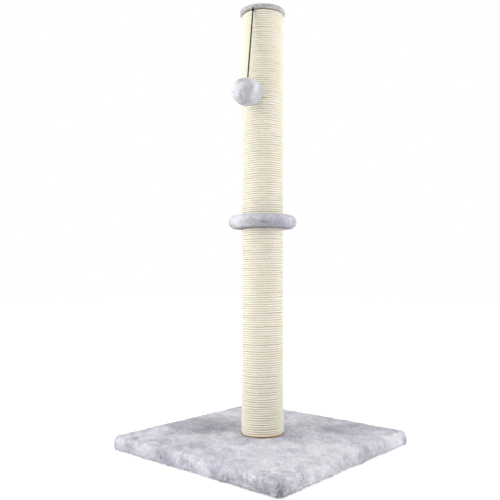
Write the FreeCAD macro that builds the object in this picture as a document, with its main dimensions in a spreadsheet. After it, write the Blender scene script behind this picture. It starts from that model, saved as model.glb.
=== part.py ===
"""A cat scratching post: a square plush base, two posts wound with sisal rope, a plush ring
between them, a plush cap on top and a plush ball that hangs from the cap on an elastic cord.

Millimetres, +Z up. The origin is on the floor below the post's axis, and X and Y run along the
edges of the base.
"""

import FreeCAD, Part
import math
import os

import Sketcher
from FreeCAD import Placement, Rotation, Vector

# The driving dimensions: name, value (millimetres, degrees or a count), what it is.
SIZES = [
    ("base_side", 400, "plush base, edge to edge"),
    ("base_corner", 14, "corner radius of the base, seen from above"),
    ("base_edge_bevel", 5.5, "the flat that stands for the soft top edge of the base"),
    ("board_thick", 18, "particle board in the base"),
    ("pile_side", 5, "plush on the sides of the base"),
    ("pile_top", 6, "plush on top of the base"),
    ("hem_thick", 4, "plush folded under the base"),
    ("hem_width", 30, "how far that fold reaches under the board"),
    ("backing_thick", 1, "cloth that closes the underside"),
    ("backing_lap", 12, "how far the cloth lies under the hem"),
    ("backing_hole", 40, "hole in the cloth for the key that turns the bolt"),
    ("tube_diameter", 72, "cardboard tube, outside"),
    ("tube_wall", 4, "cardboard tube wall"),
    ("lower_length", 391, "lower post"),
    ("upper_length", 391, "upper post"),
    ("seat_depth", 2, "how far the end of a post sinks into the plush"),
    ("seat_gap", 0.3, "between a post and the plush round its end"),
    ("rope_diameter", 3.7, "sisal rope"),
    ("rope_spacing", 0.5, "between one turn of rope and the next"),
    ("rope_gap", 0.1, "between the rope and its tube"),
    ("rope_sides", 4, "flats round the rope"),
    ("end_turns", 3.5, "turns of rope modelled at each end of a winding, in half turns"),
    ("plug_thick", 20, "wooden plug in each end of a tube"),
    ("plug_gap", 0.1, "between a plug and its tube"),
    ("insert_wall", 2, "threaded insert, from its thread to its outside"),
    ("insert_gap", 0.05, "between an insert and its plug"),
    ("thread_diameter", 8, "bolt and stud"),
    ("thread_gap", 0.05, "between a thread and its insert"),
    ("passage_gap", 0.5, "between a thread and the board or plush that it passes through"),
    ("bolt_length", 40, "bolt, under its head"),
    ("bolt_head", 17, "flat head of the bolt"),
    ("bolt_head_thick", 3, "flat head of the bolt"),
    ("bolt_socket", 5, "hexagon socket, across its flats"),
    ("bolt_socket_depth", 2, "hexagon socket"),
    ("recess_gap", 1.5, "between the bolt's head and its recess under the board"),
    ("recess_depth", 6, "that recess"),
    ("stud_length", 70, "threaded stud through the ring"),
    ("ring_diameter", 131, "plush ring, outside"),
    ("ring_board_thick", 14, "board in the ring"),
    ("ring_pile", 6, "plush all over that board"),
    ("cap_rim", 5, "plush round the edge of the cap's disc"),
    ("cap_disc_inset", 0.3, "from the outside of the rope in to the edge of the disc"),
    ("cap_disc_thick", 4, "disc in the cap"),
    ("cap_hem_thick", 1, "plush pressed between the disc and the post"),
    ("cap_hem_width", 12, "how far that plush reaches under the disc"),
    ("cap_pile", 4, "plush on top of the cap"),
    ("staple_width", 10, "staple, outside"),
    ("staple_leg", 9, "staple, under its crown"),
    ("staple_wire", 1, "staple wire"),
    ("staple_inset", 42, "from a rope's cut end to its staple, along the rope"),
    ("hem_staples", 3, "staples along each side of the hem"),
    ("cap_staples", 3, "staples through the disc of the cap"),
    ("cap_staple_reach", 15, "from the post's axis to those staples"),
    ("toy_bearing", 15, "where the toy hangs: from the front edge's middle round to +X"),
    ("knot_diameter", 5, "knot that the cord swings on"),
    ("knot_sides", 8, "flats round the knot"),
    ("knot_rows", 4, "flats from pole to pole of the knot"),
    ("cord_diameter", 2.4, "elastic cord"),
    ("cord_length", 137, "cord from the knot down to the ball"),
    ("cord_tail", 20, "end of the cord that lies on the disc of the cap"),
    ("cord_bend", 3, "bend of the cord over the edge of the disc"),
    ("cord_sides", 8, "flats round that end"),
    ("ball_diameter", 58, "plush ball, side to side"),
    ("ball_height", 50, "plush ball, along the cord"),
    ("ball_cover", 2.5, "plush skin of the ball"),
    ("swing_gap", 0.3, "between pieces of the toy, and from the ball to the rope"),
    ("soft_sides", 30, "flats round the ring and the cap"),
    ("soft_rows", 6, "flats over their rounded edges"),
    ("ball_sides", 14, "flats round the ball"),
    ("ball_rows", 9, "flats from pole to pole of the ball"),
]

# What follows from them: name, formula, what it is. Heights are above the floor.
DERIVED = [
    ("board_side", "size.base_side - 2 * size.pile_side", "board in the base"),
    ("board_corner", "size.base_corner - size.pile_side", "its corner radius"),
    ("hem_opening", "derived.board_side - 2 * size.hem_width", "opening inside the hem"),
    ("backing_side", "derived.hem_opening + 2 * size.backing_lap", "cloth under the base"),
    ("board_top", "size.hem_thick + size.board_thick", "height"),
    ("base_top", "derived.board_top + size.pile_top", "height"),
    ("lower_foot", "derived.base_top - size.seat_depth", "height"),
    ("lower_head", "derived.lower_foot + size.lower_length", "height"),
    ("ring_thick", "size.ring_board_thick + 2 * size.ring_pile", "plush ring"),
    ("ring_bottom", "derived.lower_head - size.seat_depth", "height"),
    ("ring_top", "derived.ring_bottom + derived.ring_thick", "height"),
    ("upper_foot", "derived.ring_top - size.seat_depth", "height"),
    ("upper_head", "derived.upper_foot + size.upper_length", "height"),
    ("disc_bottom", "derived.upper_head + size.cap_hem_thick", "height"),
    ("disc_top", "derived.disc_bottom + size.cap_disc_thick", "height"),
    ("cap_top", "derived.disc_top + size.cap_pile", "height"),
    ("cap_thick", "derived.cap_top - derived.upper_head", "plush cap"),
    ("tube_radius", "size.tube_diameter / 2", "cardboard tube, outside"),
    ("tube_bore", "derived.tube_radius - size.tube_wall", "cardboard tube, inside, radius"),
    ("rope_pitch", "size.rope_diameter + size.rope_spacing", "from one turn to the next"),
    ("rope_inner", "derived.tube_radius + size.rope_gap", "radius inside the winding"),
    ("rope_outer", "derived.rope_inner + size.rope_diameter", "radius over the winding"),
    ("rope_middle", "derived.rope_inner + size.rope_diameter / 2", "radius to the rope's middle"),
    ("field_start", "(size.end_turns + 1) * derived.rope_pitch", "end turns, along the post"),
    ("insert_bore", "size.thread_diameter / 2 + size.thread_gap", "radius inside an insert"),
    ("insert_radius", "derived.insert_bore + size.insert_wall", "radius of an insert"),
    ("plug_bore", "derived.insert_radius + size.insert_gap", "radius inside a plug"),
    ("passage_radius", "size.thread_diameter / 2 + size.passage_gap", "radius"),
    ("disc_radius", "derived.rope_outer - size.cap_disc_inset", "disc in the cap"),
    ("cap_radius", "derived.disc_radius + size.cap_rim", "plush cap, outside"),
    (
        "knot_reach",
        "derived.rope_outer + size.swing_gap + size.knot_diameter / 2",
        "from the post's axis to the knot",
    ),
    ("ball_reach", "derived.rope_outer + size.swing_gap + size.ball_diameter / 2", "radius"),
    (
        "cord_drop",
        "size.knot_diameter / 2 + 2 * size.swing_gap + size.cord_length + size.ball_height / 2",
        "from the knot's middle to the ball's, along the cord",
    ),
    (
        "cord_lean",
        "asin((derived.ball_reach - derived.knot_reach) / derived.cord_drop) / 1 deg",
        "lean of the cord away from the post, degrees",
    ),
    (
        "knot_height",
        "derived.upper_head - size.swing_gap - size.knot_diameter / 2 - size.swing_gap",
        "height of the knot's middle",
    ),
    ("tail_height", "derived.disc_top + size.cord_diameter / 2", "height of the cord's tail"),
]

doc = FreeCAD.newDocument("ScratchingPost")


def fill_sheet(name, rows, prefix=""):
    """A spreadsheet with one row for each value, its alias and what it is."""
    sheet = doc.addObject("Spreadsheet::Sheet", name)
    for row, (alias, content, meaning) in enumerate(rows, start=1):
        sheet.set(f"A{row}", meaning)
        sheet.set(f"B{row}", prefix + str(content))
        sheet.setAlias(f"B{row}", alias)
        doc.recompute()
    return sheet


fill_sheet("size", SIZES)
derived_sheet = fill_sheet("derived", DERIVED, prefix="=")


def value(expression):
    """An expression of the sheets as a plain number."""
    return float(derived_sheet.evalExpression(expression))


def bind(thing, **expressions):
    """Binds properties of a document object to expressions of the sheets."""
    for name, expression in expressions.items():
        thing.setExpression(name, expression)


def at_height(thing, expression):
    thing.setExpression("Placement.Base.z", expression)
    return thing


# ---- Ways of making a piece ----------------------------------------------------------------


def origin_plane(body, role):
    return next(f for f in body.Origin.OriginFeatures if f.Role == role)


def new_sketch(body, role):
    sketch = body.newObject("Sketcher::SketchObject", body.Name + "_sketch")
    sketch.AttachmentSupport = (origin_plane(body, role), "")
    sketch.MapMode = "FlatFace"
    return sketch


def outline(sketch, corners):
    """A closed outline through corners, each an (across, up) pair of expressions, both >= 0."""
    points = [Vector(value(across), value(up), 0) for across, up in corners]
    count = len(points)
    for i, point in enumerate(points):
        sketch.addGeometry(Part.LineSegment(point, points[(i + 1) % count]), False)
    for i in range(count):
        sketch.addConstraint(Sketcher.Constraint("Coincident", i, 2, (i + 1) % count, 1))
    for i, (point, corner) in enumerate(zip(points, corners)):
        for kind, axis, length, text in (
            ("DistanceX", -2, point.x, corner[0]),
            ("DistanceY", -1, point.y, corner[1]),
        ):
            if text == "0":
                sketch.addConstraint(Sketcher.Constraint("PointOnObject", i, 1, axis))
            else:
                number = sketch.addConstraint(Sketcher.Constraint(kind, -1, 1, i, 1, length))
                sketch.setExpression(f"Constraints[{number}]", text)


def turned(name, corners):
    """A round piece: its outline, (radius, height) pairs, goes once round +Z."""
    body = doc.addObject("PartDesign::Body", name)
    sketch = new_sketch(body, "XZ_Plane")
    outline(sketch, corners)
    turn = body.newObject("PartDesign::Revolution", name + "_turn")
    turn.Profile = sketch
    turn.ReferenceAxis = (sketch, ["V_Axis"])
    turn.Angle = 360
    doc.recompute()
    return body


def ring_outline(outer, inner, length):
    """The outline of a plain tube or disc with a hole."""
    return [(inner, "0"), (outer, "0"), (outer, length), (inner, length)]


def square_slab(name, side, thick, corner="0"):
    """A square slab centred on the Z axis, standing on its own XY plane."""
    body = doc.addObject("PartDesign::Body", name)
    sketch = new_sketch(body, "XY_Plane")
    half = value(side) / 2
    corners = [Vector(x * half, y * half, 0) for x, y in ((-1, -1), (1, -1), (1, 1), (-1, 1))]
    for i in range(4):
        sketch.addGeometry(Part.LineSegment(corners[i], corners[(i + 1) % 4]), False)
    for i in range(4):
        sketch.addConstraint(Sketcher.Constraint("Coincident", i, 2, (i + 1) % 4, 1))
        sketch.addConstraint(Sketcher.Constraint(("Horizontal", "Vertical")[i % 2], i))
    sketch.addConstraint(Sketcher.Constraint("Symmetric", 0, 1, 1, 2, -1, 1))
    for kind, line in (("DistanceX", 0), ("DistanceY", 1)):
        number = sketch.addConstraint(Sketcher.Constraint(kind, line, 1, line, 2, 2 * half))
        sketch.setExpression(f"Constraints[{number}]", side)
    pad = body.newObject("PartDesign::Pad", name + "_pad")
    pad.Profile = sketch
    bind(pad, Length=thick)
    doc.recompute()
    if corner != "0":
        round_edges(body, corner, lambda edge: abs(edge.tangentAt(edge.FirstParameter).z) > 0.9)
    return body


def picked_edges(body, wanted):
    """The body so far, and the names of its edges that wanted picks."""
    edges = enumerate(body.Tip.Shape.Edges, start=1)
    return body.Tip, [f"Edge{i}" for i, edge in edges if wanted(edge)]


def round_edges(body, radius, wanted):
    base = picked_edges(body, wanted)
    fillet = body.newObject("PartDesign::Fillet", body.Name + "_round")
    fillet.Base = base
    bind(fillet, Radius=radius)
    body.Tip = fillet
    doc.recompute()


def bevel_edges(body, width, wanted):
    base = picked_edges(body, wanted)
    bevel = body.newObject("PartDesign::Chamfer", body.Name + "_bevel")
    bevel.Base = base
    bind(bevel, Size=width)
    body.Tip = bevel
    doc.recompute()


def flat_sided(name, rows, sides):
    """A soft round piece as flats: rows are (radius, height) pairs of numbers from the bottom up."""
    angles = [2 * math.pi * i / sides for i in range(sides)]
    rings = [[Vector(r * math.cos(a), r * math.sin(a), z) for a in angles] for r, z in rows]
    faces = [Part.Face(Part.makePolygon(ring + ring[:1])) for ring in (rings[0], rings[-1])]
    for low, high in zip(rings, rings[1:]):
        for i in range(sides):
            j = (i + 1) % sides
            faces.append(Part.Face(Part.makePolygon([low[i], low[j], high[j], high[i], low[i]])))
    piece = doc.addObject("Part::Feature", name)
    solid = Part.Solid(Part.Shell(faces))
    if solid.Volume < 0:
        solid.reverse()
    piece.Shape = solid
    return piece


def round_edged(radius, thick, rows):
    """Rows for flat_sided: a disc whose edge is a full half round."""
    edge = thick / 2
    steps = [math.pi * (i / rows - 0.5) for i in range(rows + 1)]
    return [(radius - edge + edge * math.cos(a), edge + edge * math.sin(a)) for a in steps]


def prism_rows(bore_radius, thick, sides):
    """Rows for flat_sided: a prism whose flats touch a cylinder of bore_radius from outside."""
    corner = bore_radius / math.cos(math.pi / sides)
    return [(corner, 0), (corner, thick)]


def without(name, base, *tools):
    """The base less the tools."""
    for number, tool in enumerate(tools, start=1):
        cut = doc.addObject("Part::Cut", name if tool is tools[-1] else f"{name}_cut{number}")
        cut.Base = base
        cut.Tool = tool
        base = cut
    doc.recompute()
    return base


def grouped(name, shapes):
    """Separate solids of one kind in one node."""
    group = doc.addObject("Part::Feature", name)
    group.Shape = Part.makeCompound(shapes)
    return group


def staple():
    """A staple with the underside of its crown at the origin and its legs down -Z."""
    wire, leg = value("size.staple_wire"), value("size.staple_leg")
    half = value("size.staple_width / 2")
    corners = [
        (-half, wire),
        (half, wire),
        (half, -leg),
        (half - wire, -leg),
        (half - wire, 0),
        (wire - half, 0),
        (wire - half, -leg),
        (-half, -leg),
        (-half, wire),
    ]
    side = Part.Face(Part.makePolygon([Vector(x, -wire / 2, z) for x, z in corners]))
    return side.extrude(Vector(0, wire, 0))


def placed(shape, *moves):
    """A copy of the shape, moved by the last placement first."""
    whole = Placement()
    for move in moves:
        whole = whole * move
    copy = shape.copy()
    copy.Placement = whole * copy.Placement
    return copy


def moved(x, y, z):
    return Placement(Vector(x, y, z), Rotation())


def spun(axis, degrees):
    return Placement(Vector(), Rotation(axis, degrees))


X_AXIS, Y_AXIS, Z_AXIS = Vector(1, 0, 0), Vector(0, 1, 0), Vector(0, 0, 1)


# ---- The sisal rope ------------------------------------------------------------------------


def arc_from(start, direction, end):
    """The arc that leaves start along direction and ends at end."""
    chord = end - start
    along = Vector(chord).normalize()
    half_turn = math.acos(max(-1.0, min(1.0, direction.dot(along))))
    outward = (direction - along * direction.dot(along)).normalize()
    middle = start + chord * 0.5 + outward * (chord.Length / 2 * math.tan(half_turn / 2))
    return Part.Arc(start, middle, end).toShape()


def biarc(start, leaving, end, arriving):
    """Two arcs that meet smoothly, from start along leaving to end along arriving."""
    span = end - start
    a = 2 * (leaving.dot(arriving) - 1)
    b = -2 * span.dot(leaving + arriving)
    c = span.dot(span)
    reach = (-b - math.sqrt(b * b - 4 * a * c)) / (2 * a)
    near, far = start + leaving * reach, end - arriving * reach
    meeting = (near + far) * 0.5
    onward = (far - near).normalize()
    return [arc_from(start, leaving, meeting), arc_from(meeting, onward, end)]


def rope_path(radius, pitch, turns, first_height, first_angle):
    """A winding's middle line: each half turn of its helix is a biarc."""
    rise = pitch / (2 * math.pi)
    stations = []
    for half_turn in range(round(2 * turns) + 1):
        angle = math.radians(first_angle) + math.pi * half_turn
        height = first_height + pitch * half_turn / 2
        place = Vector(radius * math.cos(angle), radius * math.sin(angle), height)
        heading = Vector(-radius * math.sin(angle), radius * math.cos(angle), rise).normalize()
        stations.append((place, heading))
    edges = []
    for (start, leaving), (end, arriving) in zip(stations, stations[1:]):
        edges += biarc(start, leaving, end, arriving)
    return Part.Wire(edges), stations[0]


def rope_turns(first_height, first_angle):
    """The turns at one end of a winding: one unbroken length of rope."""
    radius, pitch = value("derived.rope_middle"), value("derived.rope_pitch")
    turns, sides = value("size.end_turns"), int(value("size.rope_sides"))
    path, (place, heading) = rope_path(radius, pitch, turns, first_height, first_angle)
    outward = Vector(place.x, place.y, 0).normalize() * (value("size.rope_diameter") / 2)
    upward = outward.cross(heading)
    angles = [2 * math.pi * i / sides for i in range(sides + 1)]
    section = Part.makePolygon([place + outward * math.cos(a) + upward * math.sin(a) for a in angles])
    print(f"rope turns: least gap to itself {least_gap(path, turns):.2f} mm")
    return path.makePipeShell([section], True, False)


def least_gap(path, turns):
    """The least gap between a rope and its own other turns, measured on points."""
    each_turn = 48
    points = path.discretize(Number=round(turns * each_turn) + 1)
    apart = min(
        (points[i] - points[j]).Length
        for i in range(len(points))
        for j in range(i + each_turn // 2, len(points))
    )
    return apart - value("size.rope_diameter")


def make_winding(name, length, foot, first_angle):
    """A post's rope: real turns at both ends, and the close field between them as one sleeve."""
    field = turned(name + "_field", [
        ("derived.rope_inner", "derived.field_start"),
        ("derived.rope_outer", "derived.field_start"),
        ("derived.rope_outer", f"{length} - derived.field_start"),
        ("derived.rope_inner", f"{length} - derived.field_start"),
    ])
    pitch, turns = value("derived.rope_pitch"), value("size.end_turns")
    last_start = value(length) - (turns + 0.5) * pitch
    ends = [rope_turns(pitch / 2, first_angle), rope_turns(last_start, first_angle)]
    winding = grouped(name, [ends[0], field.Shape, ends[1]])
    return at_height(winding, foot)


# ---- The base ------------------------------------------------------------------------------


def make_base():
    board_blank = square_slab(
        "board_blank", "derived.board_side", "size.board_thick", "derived.board_corner"
    )
    at_height(board_blank, "size.hem_thick")
    hole = turned("bolt_recess", [
        ("0", "0"),
        ("size.bolt_head / 2 + size.recess_gap", "0"),
        ("size.bolt_head / 2 + size.recess_gap", "size.recess_depth"),
        ("derived.passage_radius", "size.recess_depth"),
        ("derived.passage_radius", "size.board_thick"),
        ("0", "size.board_thick"),
    ])
    at_height(hole, "size.hem_thick")
    board = without("base_board", board_blank, hole)

    cloth_blank = square_slab("cloth_blank", "derived.backing_side", "size.backing_thick")
    at_height(cloth_blank, "size.hem_thick - size.backing_thick")
    key_hole = pin("key_hole", "size.backing_hole / 2", "size.hem_thick", "0")
    backing = without("base_backing", cloth_blank, key_hole)

    cover = square_slab("base_cover", "size.base_side", "derived.base_top", "size.base_corner")
    top = value("derived.base_top")
    bevel_edges(cover, "size.base_edge_bevel", lambda edge: edge.BoundBox.ZMin > top - 0.01)
    opening = square_slab("hem_opening", "derived.hem_opening", "size.hem_thick")
    seat = post_seat("base_seat")
    at_height(seat, "derived.lower_foot")
    passage = pin("base_passage", "derived.passage_radius", "size.pile_top", "derived.board_top")
    plush = without("base_plush", cover, board_blank, cloth_blank, opening, seat, passage)
    return [board, plush, backing, make_hem_staples(), make_bolt()]


def pin(name, radius, length, foot):
    """A plain cylinder on the axis."""
    cylinder = doc.addObject("Part::Cylinder", name)
    bind(cylinder, Radius=radius, Height=length)
    return at_height(cylinder, foot)


def post_seat(name):
    """What a post's end presses out of the plush, with room above it."""
    radius = value("derived.rope_outer + size.seat_gap")
    sides = int(value("size.soft_sides"))
    return flat_sided(name, prism_rows(radius, 2 * value("size.seat_depth"), sides), sides)


def make_hem_staples():
    count, span = int(value("size.hem_staples")), value("derived.backing_side")
    reach = value("(derived.hem_opening / 2 + derived.backing_side / 2) / 2")
    upright = spun(X_AXIS, 180)
    staples = []
    for side in range(4):
        for i in range(count):
            along = (i - (count - 1) / 2) * span / count
            here = moved(along, -reach, value("size.hem_thick / 2"))
            staples.append(placed(staple(), spun(Z_AXIS, 90 * side), here, upright))
    return grouped("hem_staples", staples)


def make_bolt():
    """The bolt's head bears upward on the board, and its thread enters the lower post."""
    bolt = turned("bolt_blank", [
        ("0", "0"),
        ("size.bolt_head / 2", "0"),
        ("size.bolt_head / 2", "size.bolt_head_thick"),
        ("size.thread_diameter / 2", "size.bolt_head_thick"),
        ("size.thread_diameter / 2", "size.bolt_head_thick + size.bolt_length"),
        ("0", "size.bolt_head_thick + size.bolt_length"),
    ])
    foot = "size.hem_thick + size.recess_depth - size.bolt_head_thick"
    at_height(bolt, foot)
    rows = prism_rows(value("size.bolt_socket / 2"), value("size.bolt_socket_depth"), 6)
    socket = at_height(flat_sided("bolt_socket", rows, 6), foot)
    return without("base_bolt", bolt, socket)


# ---- The posts -----------------------------------------------------------------------------

POSTS = [
    # name, length, height of its foot, bearing of its rope's ends
    ("lower", "size.lower_length", "derived.lower_foot", 75),
    ("upper", "size.upper_length", "derived.upper_foot", 120),
]


def make_posts():
    pieces = []
    for name, length, foot, rope_angle in POSTS:
        wall = ring_outline("derived.tube_radius", "derived.tube_bore", length)
        pieces.append(at_height(turned(name + "_tube", wall), foot))
        pieces.append(make_winding(name + "_sisal", length, foot, rope_angle))
    return pieces + [make_plugs(), make_inserts(), make_rope_staples(), make_stud()]


def plug_heights():
    """The undersides of the plugs: at the foot and the head of each post."""
    feet = [foot for _, _, foot, _ in POSTS]
    heads = [f"{foot} + {length} - size.plug_thick" for _, length, foot, _ in POSTS]
    return [feet[0], heads[0], feet[1], heads[1]]


def make_plugs():
    plug = turned("plug_blank", ring_outline(
        "derived.tube_bore - size.plug_gap",
        "derived.plug_bore",
        "size.plug_thick",
    ))
    return grouped("tube_plugs", [placed(plug.Shape, moved(0, 0, value(z))) for z in plug_heights()])


def make_inserts():
    """Threaded inserts in the three plugs that a bolt or a stud enters."""
    insert = turned("insert_blank", ring_outline(
        "derived.insert_radius", "derived.insert_bore", "size.plug_thick"
    ))
    heights = plug_heights()[:3]
    return grouped("threaded_inserts", [placed(insert.Shape, moved(0, 0, value(z))) for z in heights])


def make_rope_staples():
    """One staple through each end of each rope, a little way in from its cut."""
    radius = value("derived.rope_outer")
    step_in = math.degrees(value("size.staple_inset") / radius)
    rise = value("derived.rope_pitch") * step_in / 360
    staples = []
    for _, length, foot, rope_angle in POSTS:
        first = value(foot) + value("derived.rope_pitch / 2")
        last = value(foot) + value(length) - value("derived.rope_pitch / 2")
        for angle, height in ((step_in, first + rise), (-step_in, last - rise)):
            turn = spun(Z_AXIS, rope_angle + angle)
            flat_on = spun(Z_AXIS, 90) * spun(X_AXIS, -90)
            staples.append(placed(staple(), turn, moved(radius, 0, height), flat_on))
    return grouped("rope_staples", staples)


def make_stud():
    middle = "derived.ring_bottom + derived.ring_thick / 2"
    length = "size.stud_length"
    return pin("ring_stud", "size.thread_diameter / 2", length, f"{middle} - {length} / 2")


# ---- The plush ring and the cap ------------------------------------------------------------


def make_ring():
    board = turned("ring_board", ring_outline(
        "size.ring_diameter / 2 - size.ring_pile", "derived.passage_radius", "size.ring_board_thick"
    ))
    at_height(board, "derived.ring_bottom + size.ring_pile")

    sides, rows = int(value("size.soft_sides")), int(value("size.soft_rows"))
    radius, thick = value("size.ring_diameter / 2"), value("derived.ring_thick")
    cover = flat_sided("ring_cover", round_edged(radius, thick, rows), sides)
    at_height(cover, "derived.ring_bottom")
    board_radius = radius - value("size.ring_pile")
    board_rows = prism_rows(board_radius, value("size.ring_board_thick"), sides)
    hollow = flat_sided("ring_hollow", board_rows, sides)
    at_height(hollow, "derived.ring_bottom + size.ring_pile")
    low_seat, high_seat = post_seat("ring_low_seat"), post_seat("ring_high_seat")
    at_height(low_seat, "derived.lower_head - 2 * size.seat_depth")
    at_height(high_seat, "derived.upper_foot")
    passage = pin("ring_passage", "derived.passage_radius", "derived.ring_thick", "derived.ring_bottom")
    plush = without("ring_plush", cover, hollow, low_seat, high_seat, passage)
    return [board, plush]


def make_cap():
    disc = turned("cap_disc", [
        ("0", "0"),
        ("derived.disc_radius", "0"),
        ("derived.disc_radius", "size.cap_disc_thick"),
        ("0", "size.cap_disc_thick"),
    ])
    at_height(disc, "derived.disc_bottom")

    sides, rows = int(value("size.soft_sides")), int(value("size.soft_rows"))
    outside = round_edged(value("derived.cap_radius"), value("derived.cap_thick"), rows)
    cover = at_height(flat_sided("cap_cover", outside, sides), "derived.upper_head")
    disc_rows = prism_rows(value("derived.disc_radius"), value("size.cap_disc_thick"), sides)
    hollow = at_height(flat_sided("cap_hollow", disc_rows, sides), "derived.disc_bottom")
    inside = value("derived.disc_radius - size.cap_hem_width")
    hem_rows = prism_rows(inside, value("size.cap_hem_thick"), sides)
    opening = at_height(flat_sided("cap_opening", hem_rows, sides), "derived.upper_head")
    plush = without("cap_plush", cover, hollow, opening, cord_tail("cord_channel"))
    return [disc, plush, make_cap_staples()]


def make_cap_staples():
    """Staples through the disc into the plug below it, and one over the cord's tail."""
    count, reach = int(value("size.cap_staples")), value("size.cap_staple_reach")
    top = value("derived.disc_top")
    bearing = value("size.toy_bearing") - 90
    staples = []
    for i in range(count):
        turn = spun(Z_AXIS, bearing + 180 + 360 * (i - (count - 1) / 2) / (count + 1))
        staples.append(placed(staple(), turn, moved(reach, 0, top), spun(Z_AXIS, 90)))
    tail_middle = value("derived.knot_reach - size.cord_bend - size.cord_tail / 2")
    over = moved(tail_middle, 0, top + value("size.cord_diameter"))
    staples.append(placed(staple(), spun(Z_AXIS, bearing), over, spun(Z_AXIS, 90)))
    return grouped("cap_staples", staples)


# ---- The toy -------------------------------------------------------------------------------


def toy_frame():
    """Where the toy hangs: X points away from the post, and the height is the row's."""
    return spun(Z_AXIS, value("size.toy_bearing") - 90)


def cord_tail(name):
    """The fixed end of the cord: up past the disc's edge and in over its top."""
    radius, sides = value("size.cord_diameter / 2"), int(value("size.cord_sides"))
    reach, bend = value("derived.knot_reach"), value("size.cord_bend")
    low = value("derived.upper_head - size.swing_gap")
    high = value("derived.tail_height")
    corner = Vector(reach - bend, 0, high - bend)
    slant = bend * math.sqrt(0.5)
    path = Part.Wire([
        Part.LineSegment(Vector(reach, 0, low), Vector(reach, 0, high - bend)).toShape(),
        Part.Arc(
            Vector(reach, 0, high - bend),
            corner + Vector(slant, 0, slant),
            Vector(reach - bend, 0, high),
        ).toShape(),
        Part.LineSegment(
            Vector(reach - bend, 0, high),
            Vector(reach - bend - value("size.cord_tail"), 0, high),
        ).toShape(),
    ])
    angles = [2 * math.pi * (i + 0.5) / sides for i in range(sides + 1)]
    corners = [Vector(reach + radius * math.cos(a), radius * math.sin(a), low) for a in angles]
    section = Part.makePolygon(corners)
    tail = doc.addObject("Part::Feature", name)
    tail.Shape = path.makePipeShell([section], True, False)
    tail.Placement = toy_frame()
    return tail


def hanging_frame():
    """On the knot, with +Z back up the cord, which leans out so that the ball clears the rope."""
    knot = moved(value("derived.knot_reach"), 0, value("derived.knot_height"))
    return toy_frame() * knot * spun(Y_AXIS, -value("derived.cord_lean"))


def oval_rows(radius, half_height, middle, rows):
    """Rows for flat_sided: an oval from pole to pole, each pole a small flat."""
    flat = 0.3  # half of that flat, as a share of one row
    steps = [math.pi * ((i + flat) / (rows + 2 * flat) - 0.5) for i in range(rows + 1)]
    stretch = 1 / math.sin(steps[-1])
    return [(radius * math.cos(a), middle + half_height * stretch * math.sin(a)) for a in steps]


def make_toy():
    tail = cord_tail("toy_anchor")
    knot_radius = value("size.knot_diameter / 2")
    rows, sides = int(value("size.knot_rows")), int(value("size.knot_sides"))
    knot = flat_sided("toy_knot", oval_rows(knot_radius, knot_radius, 0, rows), sides)
    knot.Placement = hanging_frame()

    cord = doc.addObject("Part::Cylinder", "toy_cord")
    bind(cord, Radius="size.cord_diameter / 2", Height="size.cord_length")
    cord_foot = -value("size.knot_diameter / 2 + size.swing_gap + size.cord_length")
    cord.Placement = hanging_frame() * moved(0, 0, cord_foot)

    sides, rows = int(value("size.ball_sides")), int(value("size.ball_rows"))
    middle = -value("derived.cord_drop")
    radius, half_height = value("size.ball_diameter / 2"), value("size.ball_height / 2")
    skin = value("size.ball_cover")
    outside = flat_sided("ball_outside", oval_rows(radius, half_height, middle, rows), sides)
    inner_rows = oval_rows(radius - skin, half_height - skin, middle, rows)
    inside = flat_sided("ball_inside", inner_rows, sides)
    filling = flat_sided("ball_filling", inner_rows, sides)
    for piece in (outside, inside, filling):
        piece.Placement = hanging_frame()
    cover = without("ball_cover", outside, inside)
    return [tail, knot, cord, cover, filling]


def print_toy_joints():
    """The pivot and the axes that the toy moves about, for the record."""
    frame = hanging_frame()
    print("knot", [round(c / 1000, 6) for c in frame.Base])
    for name, axis in (("out", -Y_AXIS), ("side", X_AXIS), ("along", -Z_AXIS)):
        print(name, [round(c, 6) for c in frame.Rotation.multVec(axis)])


# ---- Making and writing --------------------------------------------------------------------


def check(pieces):
    for thing in doc.Objects:
        if "Invalid" in thing.State or "Error" in thing.State:
            raise RuntimeError(f"{thing.Name} failed: {thing.State}")
    for piece in pieces:
        if piece.Shape.isNull() or not piece.Shape.isValid():
            raise RuntimeError(f"{piece.Label} has no valid shape")


pieces = make_base() + make_posts() + make_ring() + make_cap() + make_toy()
doc.recompute()
check(pieces)
print_toy_joints()
os.makedirs("parts", exist_ok=True)
for piece in pieces:
    piece.Shape.exportStep(f"parts/{piece.Label}.step")
print(len(pieces), "pieces,", f"{max(p.Shape.BoundBox.ZMax for p in pieces):.1f} mm tall")
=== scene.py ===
"""A cat scratching post dressed for the picture: a plush base, two sisal posts with a plush ring
between them, a plush cap, and a plush ball on an elastic cord. Metres, +Z up.
"""

import math
import random

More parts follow.
